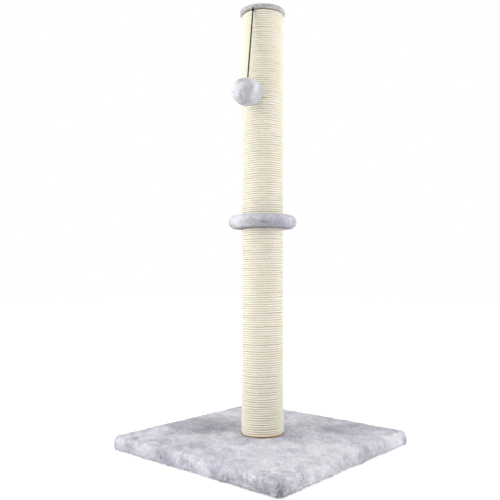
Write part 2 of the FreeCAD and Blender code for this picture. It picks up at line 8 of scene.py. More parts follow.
import bmesh
import bpy
from mathutils import Matrix, Vector, noise
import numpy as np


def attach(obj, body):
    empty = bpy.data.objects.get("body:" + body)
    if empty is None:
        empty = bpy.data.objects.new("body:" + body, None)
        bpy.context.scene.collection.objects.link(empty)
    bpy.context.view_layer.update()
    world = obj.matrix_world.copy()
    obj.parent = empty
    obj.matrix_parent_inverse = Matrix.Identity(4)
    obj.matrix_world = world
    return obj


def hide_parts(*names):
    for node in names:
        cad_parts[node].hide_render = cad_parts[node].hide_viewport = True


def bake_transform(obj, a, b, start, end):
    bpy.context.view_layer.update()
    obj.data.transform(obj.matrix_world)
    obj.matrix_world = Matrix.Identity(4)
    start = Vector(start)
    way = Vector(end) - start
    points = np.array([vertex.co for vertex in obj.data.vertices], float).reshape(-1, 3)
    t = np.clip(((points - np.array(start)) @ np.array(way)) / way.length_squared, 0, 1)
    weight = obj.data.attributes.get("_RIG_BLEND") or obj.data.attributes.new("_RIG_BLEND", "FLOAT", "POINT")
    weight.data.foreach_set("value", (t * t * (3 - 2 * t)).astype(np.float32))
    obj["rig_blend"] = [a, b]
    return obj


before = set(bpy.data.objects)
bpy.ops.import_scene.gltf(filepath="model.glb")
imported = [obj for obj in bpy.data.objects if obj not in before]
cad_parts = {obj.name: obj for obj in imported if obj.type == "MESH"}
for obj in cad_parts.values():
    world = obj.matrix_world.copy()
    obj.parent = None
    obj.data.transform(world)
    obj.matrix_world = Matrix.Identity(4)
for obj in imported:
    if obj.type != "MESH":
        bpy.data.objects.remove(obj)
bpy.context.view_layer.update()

MM = 0.001

# ---- The base board ------------------------------------------------------------------------
# A square of particle board, 18 mm thick, raw because the plush hides it. It is recessed from
# below for the bolt's head, and shows only there, through the hole in the backing cloth.


def linear(colour):
    """An sRGB hex colour as the linear colour that a shader takes."""
    parts = [int(colour[i : i + 2], 16) / 255 for i in (1, 3, 5)]
    return [p / 12.92 if p <= 0.04045 else ((p + 0.055) / 1.055) ** 2.4 for p in parts] + [1.0]


def feed(material, made, inputs):
    """Sets each input of a node to a value, or links an output to it."""
    for name, given in inputs.items():
        if isinstance(given, bpy.types.NodeSocket):
            material.node_tree.links.new(given, made.inputs[name])
        else:
            made.inputs[name].default_value = given


def node(material, kind, inputs, **settings):
    """Adds a node to a material, with its settings, values and links."""
    made = material.node_tree.nodes.new("ShaderNode" + kind)
    for name, setting in settings.items():
        setattr(made, name, setting)
    feed(material, made, inputs)
    return made


def new_material(name):
    material = bpy.data.materials.new(name)
    material.use_nodes = True
    return material, material.node_tree.nodes["Principled BSDF"]


def dress(name, material):
    """Gives a rigid piece of the frame its finish."""
    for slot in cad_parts[name].material_slots:
        slot.material = material


# Wood flakes 3 mm long in a darker binder, cut clean but left rough.
FLAKE = 3 * MM
particle_board, shader = new_material("particle_board")
place = node(particle_board, "TexCoord", {}).outputs["Object"]
stretched = node(particle_board, "Mapping", {"Vector": place, "Scale": (1.0, 0.4, 2.0)})
flakes = node(particle_board, "TexVoronoi", {
    "Vector": stretched.outputs["Vector"], "Scale": 1 / FLAKE, "Randomness": 1.0,
})
grit = node(particle_board, "TexNoise", {"Vector": place, "Scale": 1 / (0.6 * MM), "Detail": 3.0})
tone = node(particle_board, "Mix", {
    0: flakes.outputs["Color"], 6: linear("#a9834f"), 7: linear("#d9bd8c"),
}, data_type="RGBA")
relief = node(particle_board, "Bump", {
    "Height": grit.outputs["Fac"], "Strength": 0.5, "Distance": 0.3 * MM,
})
feed(particle_board, shader, {
    "Base Color": tone.outputs[2], "Roughness": 0.85, "Normal": relief.outputs["Normal"],
})
dress("base_board", particle_board)

# ---- The plush of the base -----------------------------------------------------------------
# Short polyester plush: a knitted ground cloth with a pile of 3 to 4 mm, pulled over the board,
# round its edges and under it, and stapled there. The hand brushes its nap this way and that.

BASE_SIDE, BASE_TOP = 400 * MM, 28 * MM
BASE_PILE = 3.4 * MM  # from the roots of the pile out to the surface that the solid has
BASE_BULGE = 1.4 * MM  # how much further out those roots are on the sides, where plush bulges
PILE_STEP = 2.3 * MM  # a tuft of pile; a real one is far finer
BASE_TUFT, BASE_LEAN, BASE_JITTER, BASE_CLUMP = 3.6 * MM, 2.4 * MM, 0.8 * MM, 7 * MM
PILE_FOOT = 2.5 * MM  # no tufts below this height, where the cover folds under
POST_RADIUS, POST_FOOT = 40 * MM, 26 * MM
SEAT_WIDTH, SEAT_BARE = 2 * MM, 0.5 * MM  # round the post: pressed down, and without tufts
# The hem: its opening and heights, and how far the inside of the cover is from the base's edge.
HEM_OPENING, HEM_LOW, HEM_TOP = 330 * MM, 0.2 * MM, 3 * MM
INSIDE_AT_HEM, INSIDE, INSIDE_FOOT, INSIDE_HEAD = 9 * MM, 4.6 * MM, 8 * MM, 22 * MM
# The comb of the nap: how wide a stroke and a finger are, and what each adds to a tuft's lean.
STROKE, FINGER = 55 * MM, 9 * MM
STROKE_SHARE, FINGER_SHARE, STRAY_SHARE, GATHER_SHARE = 1.3, 0.6, 0.3, 0.25
SHORTEST, LONGEST = 0.75, 1.15  # tufts, as parts of the pile's length


def wrap(flat, half, corner, top, low, top_edge, low_edge):
    """Where a point of the flat cloth lies once it is pulled over a square board."""
    reach, lead = half - corner, corner - top_edge
    over = [max(abs(c) - reach, 0.0) for c in flat.xy]
    run = max(over)
    if run == 0:
        return Vector((flat.x, flat.y, top))
    side_run = run - lead - math.pi / 2 * top_edge
    straight = top - low - top_edge - low_edge
    if run < lead:
        out, height = run, top
    elif side_run < 0:
        turn = (run - lead) / top_edge
        out, height = lead + top_edge * math.sin(turn), top - top_edge * (1 - math.cos(turn))
    elif side_run < straight:
        out, height = corner, top - top_edge - side_run
    else:
        turn = (side_run - straight) / low_edge
        out = corner - low_edge * (1 - math.cos(turn))
        height = low + low_edge * (1 - math.sin(turn))
    length = math.hypot(*over)
    ends = [
        math.copysign(min(abs(c), reach) + out * o / length, c) for c, o in zip(flat.xy, over)
    ]
    return Vector((*ends, height))


def wrap_reach(half, corner, top, low, top_edge, low_edge):
    """Half the width of flat cloth that reaches to the underside of the board."""
    straight = top - low - top_edge - low_edge
    return half - top_edge + math.pi / 2 * (top_edge + low_edge) + straight


def raise_pile(bm, faces, length, lean, jitter, clump, hand):
    """Draws each face up into a tuft; tufts lean with the nap and gather in clumps.

    Merging leaves vertices in no fixed order, so each draw goes to them in order of place.
    """
    roots = {vert for face in faces for vert in face.verts}
    for vert in sorted(roots, key=lambda vert: vert.co.to_tuple(5)):
        vert.co += Vector([hand.uniform(-jitter, jitter) for _ in range(3)])
    made = bmesh.ops.poke(bm, faces=faces, center_mode="MEAN", use_relative_offset=False)
    tips = sorted(made["verts"], key=lambda vert: vert.co.to_tuple(5))
    bm.normal_update()
    depth = bm.verts.layers.float["pile"]
    for tip in tips:
        slow = noise.turbulence_vector(tip.co / STROKE, 2, False)
        quick = noise.noise_vector(tip.co / FINGER)
        comb = slow * STROKE_SHARE + quick * FINGER_SHARE
        comb -= tip.normal * comb.dot(tip.normal)
        stray = Vector([hand.uniform(-1, 1) for _ in range(3)])
        gather = noise.voronoi(tip.co / clump)[1][0] * clump - tip.co
        gather -= tip.normal * gather.dot(tip.normal)
        rise = length * hand.uniform(SHORTEST, LONGEST)
        tip.co += (
            tip.normal * rise + comb * lean + stray * lean * STRAY_SHARE + gather * GATHER_SHARE
        )
        tip[depth] = 1.0
    return tips


def made_into(bm, name, material):
    """The bmesh as an object at the origin."""
    mesh = bpy.data.meshes.new(name)
    bm.to_mesh(mesh)
    bm.free()
    mesh.materials.append(material)
    mesh.shade_smooth()
    piece = bpy.data.objects.new(name, mesh)
    bpy.context.scene.collection.objects.link(piece)
    return piece


def pile_finish(name, dull, bright, patch, streak, curl, painted_light_and_shade_patches=(), roots=0.8):
    """A pile fabric, with painted shade at the roots of its tufts and patches of painted light and shade."""
    cloth, shader = new_material(name)
    place = node(cloth, "TexCoord", {}).outputs["Object"]
    depth = node(cloth, "Attribute", {}, attribute_name="pile").outputs["Fac"]
    patches = node(cloth, "TexNoise", {
        "Vector": place, "Scale": 1 / patch, "Detail": 3.0, "Roughness": 0.6, "Distortion": 0.8,
    }).outputs["Fac"]
    slant = node(cloth, "Mapping", {
        "Vector": place, "Rotation": (0.0, 0.0, math.radians(35)), "Scale": (1.0, 1.6, 1.0),
    }).outputs["Vector"]
    streaks = node(cloth, "TexNoise", {
        "Vector": slant, "Scale": 1 / streak, "Detail": 4.0, "Roughness": 0.62, "Distortion": 0.5,
    }).outputs["Fac"]
    both = node(cloth, "Math", {0: patches, 1: streaks}, operation="ADD").outputs[0]
    nap = node(cloth, "MapRange", {
        "Value": both, "From Min": 0.76, "From Max": 1.2,
    }, interpolation_type="SMOOTHSTEP").outputs["Result"]
    tone = node(cloth, "Mix", {0: nap, 6: linear(dull), 7: linear(bright)}, data_type="RGBA")
    # Painted shade among the tufts: full tone at their tips, down to the factor roots at their roots.
    painted_shading_and_curls = node(cloth, "MapRange", {
        "Value": depth, "To Min": roots, "To Max": 1.0,
    }).outputs["Result"]
    curls = node(cloth, "TexNoise", {
        "Vector": place, "Scale": 1 / curl, "Detail": 2.0, "Roughness": 0.55, "Distortion": 2.4,
    }).outputs["Fac"]
    curled = node(cloth, "MapRange", {
        "Value": curls, "From Min": 0.36, "From Max": 0.6, "To Min": 0.78, "To Max": 1.04,
    }).outputs["Result"]
    painted_shading_and_curls = node(cloth, "Math", {0: painted_shading_and_curls, 1: curled}, operation="MULTIPLY").outputs[0]
    # Round patches with ragged edges: painted shade where shade is below 1, painted light where above.
    for middle, size, shade in painted_light_and_shade_patches:
        off = node(cloth, "VectorMath", {
            0: place, 1: middle,
        }, operation="DISTANCE").outputs["Value"]
        ragged = size * 0.9
        wavy = node(cloth, "Math", {0: streaks, 1: ragged, 2: off}, operation="MULTIPLY_ADD")
        turned = node(cloth, "MapRange", {
            "Value": wavy.outputs[0], "From Min": ragged, "From Max": size * 1.6,
            "To Min": shade, "To Max": 1.0,
        }, interpolation_type="SMOOTHSTEP").outputs["Result"]
        painted_shading_and_curls = node(cloth, "Math", {0: painted_shading_and_curls, 1: turned}, operation="MULTIPLY").outputs[0]
    tone = node(cloth, "Mix", {
        0: 1.0, 6: tone.outputs[2], 7: painted_shading_and_curls,
    }, data_type="RGBA", blend_type="MULTIPLY")
    fibres = node(cloth, "TexNoise", {"Vector": place, "Scale": 1 / (1.1 * MM), "Detail": 2.0})
    shape = node(cloth, "Math", {
        0: fibres.outputs["Fac"], 1: 0.5, 2: curls,
    }, operation="MULTIPLY_ADD").outputs[0]
    relief = node(cloth, "Bump", {"Height": shape, "Strength": 0.7, "Distance": 1.4 * MM})
    feed(cloth, shader, {
        "Base Color": tone.outputs[2], "Roughness": 0.95, "Specular IOR Level": 0.2,
        "Sheen Weight": 0.3, "Sheen Roughness": 0.6, "Normal": relief.outputs["Normal"],
    })
    return cloth


# Pale lavender grey polyester fibre, matt, in a pile that the hand leaves streaked and patchy.
# Painted shade behind the post, at the front corner and along the left side, and a painted highlight
# at the right corner: where, how far, how dull or bright.
plush = pile_finish(
    "polyester_plush_painted_light_and_shade", "#c3c0d0", "#eae9f0", patch=95 * MM, streak=26 * MM, curl=5.5 * MM,
    painted_light_and_shade_patches=[
        ((-0.125, 0.0, 0.02), 0.080, 0.74), ((0.20, -0.20, 0.0), 0.055, 0.82),
        ((-0.08, -0.20, 0.0), 0.070, 0.92), ((0.20, 0.18, 0.01), 0.060, 1.07),
    ],
)

# One seed for the hand that ruffles the pile and one for the comb, so each run grows the same.
hand = random.Random(7730)
noise.seed_set(7730)
around_board = dict(
    half=BASE_SIDE / 2 - BASE_PILE + BASE_BULGE,
    corner=9.4 * MM,
    top=BASE_TOP - BASE_PILE,
    low=0.3 * MM,
    top_edge=7 * MM,
    low_edge=8.4 * MM,
)
reach = wrap_reach(**around_board)
steps = round(2 * reach / PILE_STEP)
bm = bmesh.new()
bm.verts.layers.float.new("pile")
bmesh.ops.create_grid(bm, x_segments=steps, y_segments=steps, size=reach)
for vert in bm.verts:
    vert.co = wrap(vert.co, **around_board)
    if math.hypot(*vert.co.xy) < POST_RADIUS + SEAT_WIDTH:
        vert.co.z = min(vert.co.z, POST_FOOT - BASE_PILE / 2)
bmesh.ops.recalc_face_normals(bm, faces=bm.faces)
tufted = [
    f for f in bm.faces
    if math.hypot(*f.calc_center_median().xy) > POST_RADIUS + SEAT_BARE
    and f.calc_center_median().z > PILE_FOOT
]
rim = [e for e in bm.edges if e.is_boundary]
raise_pile(bm, tufted, BASE_TUFT, BASE_LEAN, BASE_JITTER, BASE_CLUMP, hand)
for vert in bm.verts:
    vert.co.z = max(vert.co.z, 0.0)
# The hem goes in under the board, up beside the backing cloth and back round the board.
for width, height in (
    (HEM_OPENING / 2, HEM_LOW), (HEM_OPENING / 2, HEM_TOP),
    (BASE_SIDE / 2 - INSIDE_AT_HEM, HEM_TOP),
    (BASE_SIDE / 2 - INSIDE, INSIDE_FOOT), (BASE_SIDE / 2 - INSIDE, INSIDE_HEAD),
):
    rim = bmesh.ops.extrude_edge_only(bm, edges=rim)["geom"]
    verts = [v for v in rim if isinstance(v, bmesh.types.BMVert)]
    rim = [e for e in rim if isinstance(e, bmesh.types.BMEdge)]
    now = max(v.co.x for v in verts)
    for vert in verts:
        vert.co = Vector((vert.co.x * width / now, vert.co.y * width / now, height))
bmesh.ops.contextual_create(bm, geom=rim)
bmesh.ops.recalc_face_normals(bm, faces=bm.faces)
base_plush = made_into(bm, "base_cover", plush)
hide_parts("base_plush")
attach(base_plush, "post")

# ---- The backing under the base ------------------------------------------------------------
# A square of dark bonded cloth closes the underside. It is stapled with the hem, stretched
# between the staples, and has a round hole for the key that turns the bolt.

CLOTH_SIDE, CLOTH_THICK, KEY_HOLE = 354 * MM, 0.8 * MM, 20 * MM
CLOTH_HEIGHT, CLOTH_STEPS = 3.4 * MM, 60
SAG, RIPPLE, RIPPLE_WIDTH = 0.7 * MM, 0.35 * MM, 38 * MM

# Spun-bonded polypropylene, charcoal, pressed all over with dots 2 mm apart that show as a
# faint grid.
bonded, shader = new_material("spun_bonded_cloth")
place = node(bonded, "TexCoord", {}).outputs["Object"]
dots = node(bonded, "TexVoronoi", {
    "Vector": place, "Scale": 1 / (2 * MM), "Randomness": 0.12,
}).outputs["Distance"]
pressed = node(bonded, "MapRange", {"Value": dots, "From Min": 0.15, "From Max": 0.45})
fibre = node(bonded, "TexNoise", {"Vector": place, "Scale": 1 / (0.8 * MM), "Detail": 4.0})
tone = node(bonded, "Mix", {
    0: fibre.outputs["Fac"], 6: linear("#26272a"), 7: linear("#45474b"),
}, data_type="RGBA")
relief = node(bonded, "Bump", {
    "Height": pressed.outputs["Result"], "Strength": 0.7, "Distance": 0.2 * MM,
})
feed(bonded, shader, {
    "Base Color": tone.outputs[2], "Roughness": 0.8, "Normal": relief.outputs["Normal"],
})

bm = bmesh.new()
bmesh.ops.create_grid(bm, x_segments=CLOTH_STEPS, y_segments=CLOTH_STEPS, size=CLOTH_SIDE / 2)
hole = [f for f in bm.faces if f.calc_center_median().length < KEY_HOLE]
bmesh.ops.delete(bm, geom=hole, context="FACES")
for vert in bm.verts:
    if vert.is_boundary and vert.co.length < 2 * KEY_HOLE:
        vert.co *= KEY_HOLE / vert.co.length
    slack = max(0.0, 1 - max(abs(vert.co.x), abs(vert.co.y)) / (HEM_OPENING / 2))
    ripple = noise.noise(vert.co / RIPPLE_WIDTH) * RIPPLE
    vert.co.z = CLOTH_HEIGHT - (SAG + ripple) * min(1.0, 4 * slack)
base_backing = made_into(bm, "backing_cloth", bonded)
thickness = base_backing.modifiers.new("thickness", "SOLIDIFY")
thickness.thickness, thickness.offset = CLOTH_THICK, 0.0
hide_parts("base_backing")
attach(base_backing, "post")

# ---- Staples, bolt, inserts and stud -------------------------------------------------------
# Staples of flat steel wire hold the hem, the ends of the rope and the cap. A bolt from below
# and a stud through the ring draw the base, the posts and the ring together.

# Zinc-plated steel: bright but not polished, with a fine drawn grain and pale blue zinc bloom.
zinc, shader = new_material("zinc_plated_steel")
place = node(zinc, "TexCoord", {}).outputs["Object"]
bloom = node(zinc, "TexNoise", {"Vector": place, "Scale": 1 / (4 * MM), "Detail": 3.0})
drawn = node(zinc, "Mapping", {"Vector": place, "Scale": (1.0, 1.0, 0.08)}).outputs["Vector"]
drawn = node(zinc, "TexNoise", {"Vector": drawn, "Scale": 1 / (0.3 * MM), "Detail": 2.0})
tone = node(zinc, "Mix", {
    0: bloom.outputs["Fac"], 6: linear("#b3b7bc"), 7: linear("#d6d8da"),
}, data_type="RGBA")
dull = node(zinc, "MapRange", {"Value": bloom.outputs["Fac"], "To Min": 0.28, "To Max": 0.5})
relief = node(zinc, "Bump", {
    "Height": drawn.outputs["Fac"], "Strength": 0.2, "Distance": 0.05 * MM,
})
feed(zinc, shader, {
    "Base Color": tone.outputs[2], "Metallic": 1.0, "Roughness": dull.outputs["Result"],
    "Normal": relief.outputs["Normal"],
})
STEEL_PIECES = (
    "hem_staples", "rope_staples", "cap_staples", "base_bolt", "threaded_inserts", "ring_stud",
)
for name in STEEL_PIECES:
    dress(name, zinc)

# ---- The tubes and their plugs -------------------------------------------------------------
# Each post is a wound cardboard tube with a turned wooden plug glued into both ends. Plugs, the
# board in the ring and the disc in the cap are plain softwood and plywood, all out of sight.

# Kraft cardboard: brown, matt, with the spiral seam of its plies every 60 mm.
kraft, shader = new_material("kraft_cardboard")
place = node(kraft, "TexCoord", {}).outputs["Object"]
pulp = node(kraft, "TexNoise", {"Vector": place, "Scale": 1 / (1.5 * MM), "Detail": 4.0})
plies = node(kraft, "TexWave", {
    "Vector": place, "Scale": 2 * math.pi / (20 * 60 * MM), "Distortion": 0.4,
}, bands_direction="Z").outputs["Fac"]
tone = node(kraft, "Mix", {
    0: pulp.outputs["Fac"], 6: linear("#a37c52"), 7: linear("#c29c70"),
}, data_type="RGBA")
seamed = node(kraft, "MapRange", {"Value": plies, "To Min": 0.85, "To Max": 1.0})
tone = node(kraft, "Mix", {
    0: 1.0, 6: tone.outputs[2], 7: seamed.outputs["Result"],
}, data_type="RGBA", blend_type="MULTIPLY")
feed(kraft, shader, {"Base Color": tone.outputs[2], "Roughness": 0.9})

# Raw softwood: cream to honey, with growth rings about 2.5 mm apart.
softwood, shader = new_material("raw_softwood")
place = node(softwood, "TexCoord", {}).outputs["Object"]
heart = node(softwood, "Mapping", {"Vector": place, "Location": (0.09, 0.05, 0.0)})
growth = node(softwood, "TexWave", {
    "Vector": heart.outputs["Vector"], "Scale": 2 * math.pi / (20 * 2.5 * MM),
    "Distortion": 1.5, "Detail": 2.0,
}, wave_type="RINGS", rings_direction="Z").outputs["Fac"]
tone = node(softwood, "Mix", {
    0: growth, 6: linear("#c9a06a"), 7: linear("#e6cda0"),
}, data_type="RGBA")
relief = node(softwood, "Bump", {"Height": growth, "Strength": 0.2, "Distance": 0.1 * MM})
feed(softwood, shader, {
    "Base Color": tone.outputs[2], "Roughness": 0.7, "Normal": relief.outputs["Normal"],
})
for name in ("lower_tube", "upper_tube"):
    dress(name, kraft)
for name in ("tube_plugs", "ring_board", "cap_disc"):
    dress(name, softwood)

# ---- The sisal windings --------------------------------------------------------------------
# Natural sisal rope, three strands laid together, 4 mm thick. Each post has one length of about
# 22 m, glued to the tube and wound turn against turn, a little unevenly, as a machine leaves it.

ROPE, ROPE_MIDDLE = 4.15 * MM, 37.85 * MM
POST_LENGTH, TURNS = 391 * MM, 92
UPPER_FOOT = 439 * MM
PITCH = POST_LENGTH / (TURNS + 1)
STRANDS = 3
LAY = 13 * MM  # along the rope, for one strand to go once round it
ROPE_SIDES, TURN_STEPS = 10, 64
# Turns that don't lie close: bearing and height of the gap, how wide it opens, half its length.
GAPS = [
    (math.radians(-20), 727 * MM, 1.0 * MM, math.radians(42)),
    (math.radians(-20), 664.5 * MM, 0.9 * MM, math.radians(30)),
    (math.radians(-47), 660 * MM, 1.0 * MM, math.radians(20)),
    (math.radians(-38), 647 * MM, 0.6 * MM, math.radians(26)),
    (math.radians(-36), 229 * MM, 0.8 * MM, math.radians(14)),
    (math.radians(-63), 174 * MM, 0.8 * MM, math.radians(14)),
    (math.radians(120), 620 * MM, 0.8 * MM, math.radians(25)),
    (math.radians(160), 300 * MM, 0.9 * MM, math.radians(30)),
]
GAP_SLANT, GAP_REACH, GAP_FADE = 1.5 * MM, 30 * MM, 9 * MM
ENDS_HELD = 9 * MM  # the length at each end of a post where the rope lies true
# How it wavers along its way: how quickly, which row of the noise, how many millimetres.
PRESS = (0.9, 0.0, 0.16)
TILTS = ((0.35, 5.0, 0.34), (1.7, 9.0, 0.12))

# Sisal fibre: cream, dry and matt. The strands slant across the rope, single fibres run along
# them, and the tone changes every few centimetres along the rope as the leaf's does.
sisal, shader = new_material("natural_sisal")
place = node(sisal, "TexCoord", {}).outputs["Object"]
along = node(sisal, "UVMap", {}, uv_map="rope").outputs["UV"]
parts = node(sisal, "SeparateXYZ", {"Vector": along})
slant = node(sisal, "Math", {
    0: parts.outputs["X"], 1: STRANDS / LAY,
}, operation="MULTIPLY").outputs[0]
strand = node(sisal, "Math", {
    0: parts.outputs["Y"], 1: STRANDS, 2: slant,
}, operation="MULTIPLY_ADD")
ridge = node(sisal, "Math", {0: strand.outputs[0], 1: math.pi}, operation="MULTIPLY").outputs[0]
ridge = node(sisal, "Math", {0: ridge}, operation="SINE").outputs[0]
ridge = node(sisal, "Math", {0: ridge}, operation="ABSOLUTE").outputs[0]
laid = node(sisal, "CombineXYZ", {"X": strand.outputs[0], "Y": parts.outputs["X"]})
fibres = node(sisal, "Mapping", {
    "Vector": laid.outputs["Vector"], "Scale": (9.0, 1 / (14 * MM), 1.0),
})
fibres = node(sisal, "TexNoise", {
    "Vector": fibres.outputs["Vector"], "Scale": 1.0, "Detail": 3.0, "Roughness": 0.6,
}, noise_dimensions="2D").outputs["Fac"]
length = node(sisal, "Math", {0: parts.outputs["X"], 1: 1 / (70 * MM)}, operation="MULTIPLY")
leaf = node(sisal, "TexNoise", {
    "W": length.outputs[0], "Scale": 1.0, "Detail": 3.0, "Roughness": 0.7,
}, noise_dimensions="1D").outputs["Fac"]
tone = node(sisal, "Mix", {0: leaf, 6: linear("#d9d2be"), 7: linear("#eeebdf")}, data_type="RGBA")
worn = node(sisal, "MapRange", {"Value": fibres, "From Min": 0.3, "From Max": 0.7, "To Min": 0.86})
tone = node(sisal, "Mix", {
    0: 1.0, 6: tone.outputs[2], 7: worn.outputs["Result"],
}, data_type="RGBA", blend_type="MULTIPLY")
# Painted shade in the grooves between the strands.
strand_groove_shade = node(sisal, "MapRange", {"Value": ridge, "From Max": 0.5, "To Min": 0.8})
tone = node(sisal, "Mix", {
    0: 1.0, 6: tone.outputs[2], 7: strand_groove_shade.outputs["Result"],
}, data_type="RGBA", blend_type="MULTIPLY")
# Painted shade on the rope's upper, lower and inner sides, where the turns meet each other and the tube.
turn_groove_shade = node(sisal, "Math", {
    0: parts.outputs["Y"], 1: 2 * math.pi,
}, operation="MULTIPLY").outputs[0]
turn_groove_shade = node(sisal, "Math", {0: turn_groove_shade}, operation="COSINE").outputs[0]
turn_groove_shade = node(sisal, "MapRange", {
    "Value": turn_groove_shade, "From Min": -0.3, "From Max": 0.85,
}).outputs["Result"]
tone = node(sisal, "Mix", {
    0: turn_groove_shade, 6: linear("#a19371"), 7: tone.outputs[2],
}, data_type="RGBA")
height = node(sisal, "SeparateXYZ", {"Vector": place}).outputs["Z"]
foot = node(sisal, "MapRange", {
    "Value": height, "From Min": 32 * MM, "From Max": 36 * MM, "To Min": 0.5, "To Max": 0.0,
})
tone = node(sisal, "Mix", {
    0: foot.outputs["Result"], 6: tone.outputs[2], 7: linear("#d3c7ab"),
}, data_type="RGBA")
shape = node(sisal, "Math", {0: fibres, 1: 0.35, 2: ridge}, operation="MULTIPLY_ADD")
relief = node(sisal, "Bump", {"Height": shape.outputs[0], "Strength": 0.8, "Distance": 0.5 * MM})
feed(sisal, shader, {
    "Base Color": tone.outputs[2], "Roughness": 0.8, "Specular IOR Level": 0.25,
    "Sheen Weight": 0.1, "Normal": relief.outputs["Normal"],
})


def waver(total, seed, rate, row, size):
    """How far the rope strays at an angle along its way."""
    return noise.noise(Vector((total * rate, seed + row, 0.0))) * size * MM


def wind(name, foot, bearing, seed):
    """One post's rope, wound up the tube from a cut end at bearing degrees."""
    start = foot + PITCH / 2
    bm = bmesh.new()
    bmesh.ops.create_circle(bm, radius=ROPE / 2, segments=ROPE_SIDES)
    bmesh.ops.rotate(bm, verts=bm.verts, matrix=Matrix.Rotation(math.radians(90), 3, "X"))
    bmesh.ops.translate(bm, verts=bm.verts, vec=(ROPE_MIDDLE, 0, start))
    bmesh.ops.spin(
        bm, geom=bm.verts[:] + bm.edges[:], cent=(0, 0, 0), axis=(0, 0, 1),
        dvec=(0, 0, PITCH / TURN_STEPS), angle=2 * math.pi, steps=TURN_STEPS,
        use_merge=False, use_duplicate=False,
    )
    one_turn = bm.verts[:] + bm.edges[:] + bm.faces[:]
    for turn in range(1, TURNS):
        made = bmesh.ops.duplicate(bm, geom=one_turn)["geom"]
        copies = [v for v in made if isinstance(v, bmesh.types.BMVert)]
        bmesh.ops.translate(bm, verts=copies, vec=(0, 0, PITCH * turn))
    bmesh.ops.remove_doubles(bm, verts=bm.verts, dist=0.01 * MM)
    bmesh.ops.holes_fill(bm, edges=[e for e in bm.edges if e.is_boundary], sides=ROPE_SIDES)
    bmesh.ops.recalc_face_normals(bm, faces=bm.faces)
    uv = bm.loops.layers.uv.new("rope")
    where = {}
    for vert in bm.verts:
        angle = math.atan2(vert.co.y, vert.co.x)
        turn = round((vert.co.z - start) / PITCH - angle / (2 * math.pi))
        total = angle + 2 * math.pi * turn
        up = vert.co.z - start - PITCH * total / (2 * math.pi)
        out = math.hypot(*vert.co.xy) - ROPE_MIDDLE
        where[vert] = (total, math.atan2(up, out) / (2 * math.pi))
    for face in bm.faces:
        rounds = [where[loop.vert][1] for loop in face.loops]
        for loop, part in zip(face.loops, rounds):
            if max(rounds) - min(rounds) > 0.5 and part < 0:
                part += 1
            loop[uv].uv = (where[loop.vert][0] * ROPE_MIDDLE, part)
    turned = Matrix.Rotation(math.radians(bearing), 3, "Z")
    for vert in bm.verts:
        total, _ = where[vert]
        vert.co = turned @ vert.co
        below, above = vert.co.z - foot, foot + POST_LENGTH - vert.co.z
        ends = min(1.0, below / ENDS_HELD, above / ENDS_HELD)
        press = waver(total, seed, *PRESS)
        tilt = sum(waver(total, seed, *kind) for kind in TILTS)
        angle = math.atan2(vert.co.y, vert.co.x)
        for bearing_of_gap, height, width, half_length in GAPS:
            off = math.remainder(angle - bearing_of_gap, 2 * math.pi) / half_length
            away = vert.co.z - height - GAP_SLANT * off
            if abs(off) < 1 and abs(away) < GAP_REACH:
                opened = width / 2 * (1 - off * off) ** 2 * math.exp(-abs(away) / GAP_FADE)
                tilt += math.copysign(opened, away)
        flat = Vector((*vert.co.xy, 0.0)).normalized()
        vert.co += flat * press + Vector((0, 0, tilt * max(ends, 0.0)))
    return made_into(bm, name, sisal)


for name, foot, bearing, seed in (
    ("lower", POST_FOOT, 75, 11.3), ("upper", UPPER_FOOT, 120, 47.9),
):
    winding = wind(name + "_winding", foot, bearing, seed)
    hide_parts(name + "_sisal")
    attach(winding, "post")

# ---- The plush ring and the cap ------------------------------------------------------------
# The ring is a disc of board sewn into the same plush, pressed between the two posts. The cap is
# a thin disc with plush pulled over it and under its rim, stapled to the top plug.

ROUND_JITTER, ROUND_CLUMP = 0.5 * MM, 5 * MM

def turned_pile(name, outline, tufted, sides, length, lean, lowest, finish):
    """A round piece of plush: its outline goes once round, and the outside grows a pile."""
    bm = bmesh.new()
    bm.verts.layers.float.new("pile")
    corners = [bm.verts.new((radius, 0, height)) for radius, height in outline]
    for a, b in zip(corners, corners[1:] + corners[:1]):
        bm.edges.new((a, b))
    bmesh.ops.spin(
        bm, geom=bm.verts[:] + bm.edges[:], cent=(0, 0, 0), axis=(0, 0, 1),
        angle=2 * math.pi, steps=sides, use_merge=True, use_duplicate=False,
    )
    bmesh.ops.remove_doubles(bm, verts=bm.verts, dist=0.01 * MM)
    bmesh.ops.recalc_face_normals(bm, faces=bm.faces)
    tufts = [f for f in bm.faces if tufted(f.calc_center_median())]
    for tip in raise_pile(bm, tufts, length, lean, ROUND_JITTER, ROUND_CLUMP, hand):
        tip.co.z = max(tip.co.z, lowest)
    return made_into(bm, name, finish)


def run_between(start, end, step):
    """Points from start to just before end, about a step apart."""
    start, end = Vector(start), Vector(end)
    count = max(1, round((end - start).length / step))
    return [start.lerp(end, i / count) for i in range(count)]


def quarter_round(middle, radius, start, count):
    """Points of a quarter turn upwards round middle, from start degrees to just before its end."""
    turns = [math.radians(start + 90 * i / count) for i in range(count)]
    return [Vector(middle) + Vector((math.cos(t), math.sin(t))) * radius for t in turns]


RING_RADIUS, RING_LOW, RING_HIGH = 65.5 * MM, 415 * MM, 441 * MM
RING_PILE, RING_STEP, RING_SIDES = 3.2 * MM, 1.9 * MM, 208
RING_TUFT, RING_LEAN = 3.4 * MM, 2.2 * MM
# Inside: the stud's hole, where the posts press, and the room that the board lies in.
STUD_HOLE, PRESSED_LOW, PRESSED_HIGH = 4.5 * MM, 417.2 * MM, 438.8 * MM
BOARD_RIM, BOARD_LOW, BOARD_HIGH = 59.6 * MM, 420.8 * MM, 435.2 * MM
